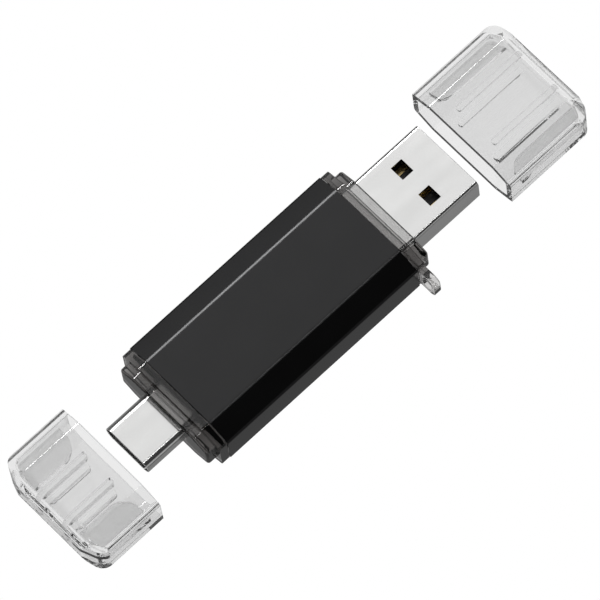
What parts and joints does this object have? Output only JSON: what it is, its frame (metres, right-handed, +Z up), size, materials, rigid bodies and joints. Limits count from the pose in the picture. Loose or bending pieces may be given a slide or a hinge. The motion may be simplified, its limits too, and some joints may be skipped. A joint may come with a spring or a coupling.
{
  "type": "usb flash drive",
  "caption": "Flat flash drive in a black eight-sided aluminium sleeve, with a USB-A plug at one end, a USB-C plug at the other, a lanyard loop and two clear pull-off caps.",
  "frame": {"origin": "centre of the sleeve's bottom face", "axes": "+X along the drive's length towards the USB-A plug, +Y across it away from the lanyard loop, +Z up out of the top flat"},
  "size_m": [0.0908, 0.0218, 0.0078],
  "materials": {
    "black_anodised_aluminium": "satin black anodised",
    "smoke_plastic": "smoke-grey clear, polished",
    "clear_plastic": "clear, polished",
    "plated_steel": "nickel plated, satin",
    "gold_plate": "gold plated",
    "black_plastic": "moulded black",
    "board_laminate": "green solder mask",
    "chip_resin": "moulded black resin",
    "ceramic": "tan ceramic with tinned ends",
    "lamp_resin": "clear resin"
  },
  "bodies": {
    "drive": {"body_sleeve": "black_anodised_aluminium", "usb_a_end_frame": "smoke_plastic", "usb_c_end_frame": "smoke_plastic", "circuit_board": "board_laminate", "usb_a_shell": "plated_steel", "usb_a_insulator": "black_plastic", "usb_a_contact_1": "gold_plate", "usb_a_contact_2": "gold_plate", "usb_a_contact_3": "gold_plate", "usb_a_contact_4": "gold_plate", "usb_c_shell": "plated_steel", "usb_c_insulator": "black_plastic", "usb_c_latch_spring": "plated_steel", "usb_c_shield_spring_upper": "plated_steel", "usb_c_shield_spring_lower": "plated_steel", "usb_c_upper_contact_01": "gold_plate", "usb_c_upper_contact_04": "gold_plate", "usb_c_upper_contact_05": "gold_plate", "usb_c_upper_contact_06": "gold_plate", "usb_c_upper_contact_07": "gold_plate", "usb_c_upper_contact_09": "gold_plate", "usb_c_upper_contact_12": "gold_plate", "usb_c_lower_contact_01": "gold_plate", "usb_c_lower_contact_04": "gold_plate", "usb_c_lower_contact_09": "gold_plate", "usb_c_lower_contact_12": "gold_plate", "flash_memory_chip": "chip_resin", "controller_chip": "chip_resin", "voltage_regulator": "chip_resin", "clock_crystal": "plated_steel", "activity_lamp": "lamp_resin", "capacitor_1": "ceramic", "capacitor_2": "ceramic", "capacitor_3": "ceramic", "capacitor_4": "ceramic", "resistor_1": "chip_resin", "resistor_2": "chip_resin", "resistor_3": "chip_resin"},
    "usb_a_cap": {"usb_a_cap": "clear_plastic"},
    "usb_c_cap": {"usb_c_cap": "clear_plastic"}
  },
  "joints": [
    {"name": "usb_a_cap_slide", "type": "slide", "parent": "drive", "child": "usb_a_cap", "axis": [1, 0, 0], "range_m": [-0.01555, 0]},
    {"name": "usb_c_cap_slide", "type": "slide", "parent": "drive", "child": "usb_c_cap", "axis": [-1, 0, 0], "range_m": [-0.01065, 0]}
  ]
}
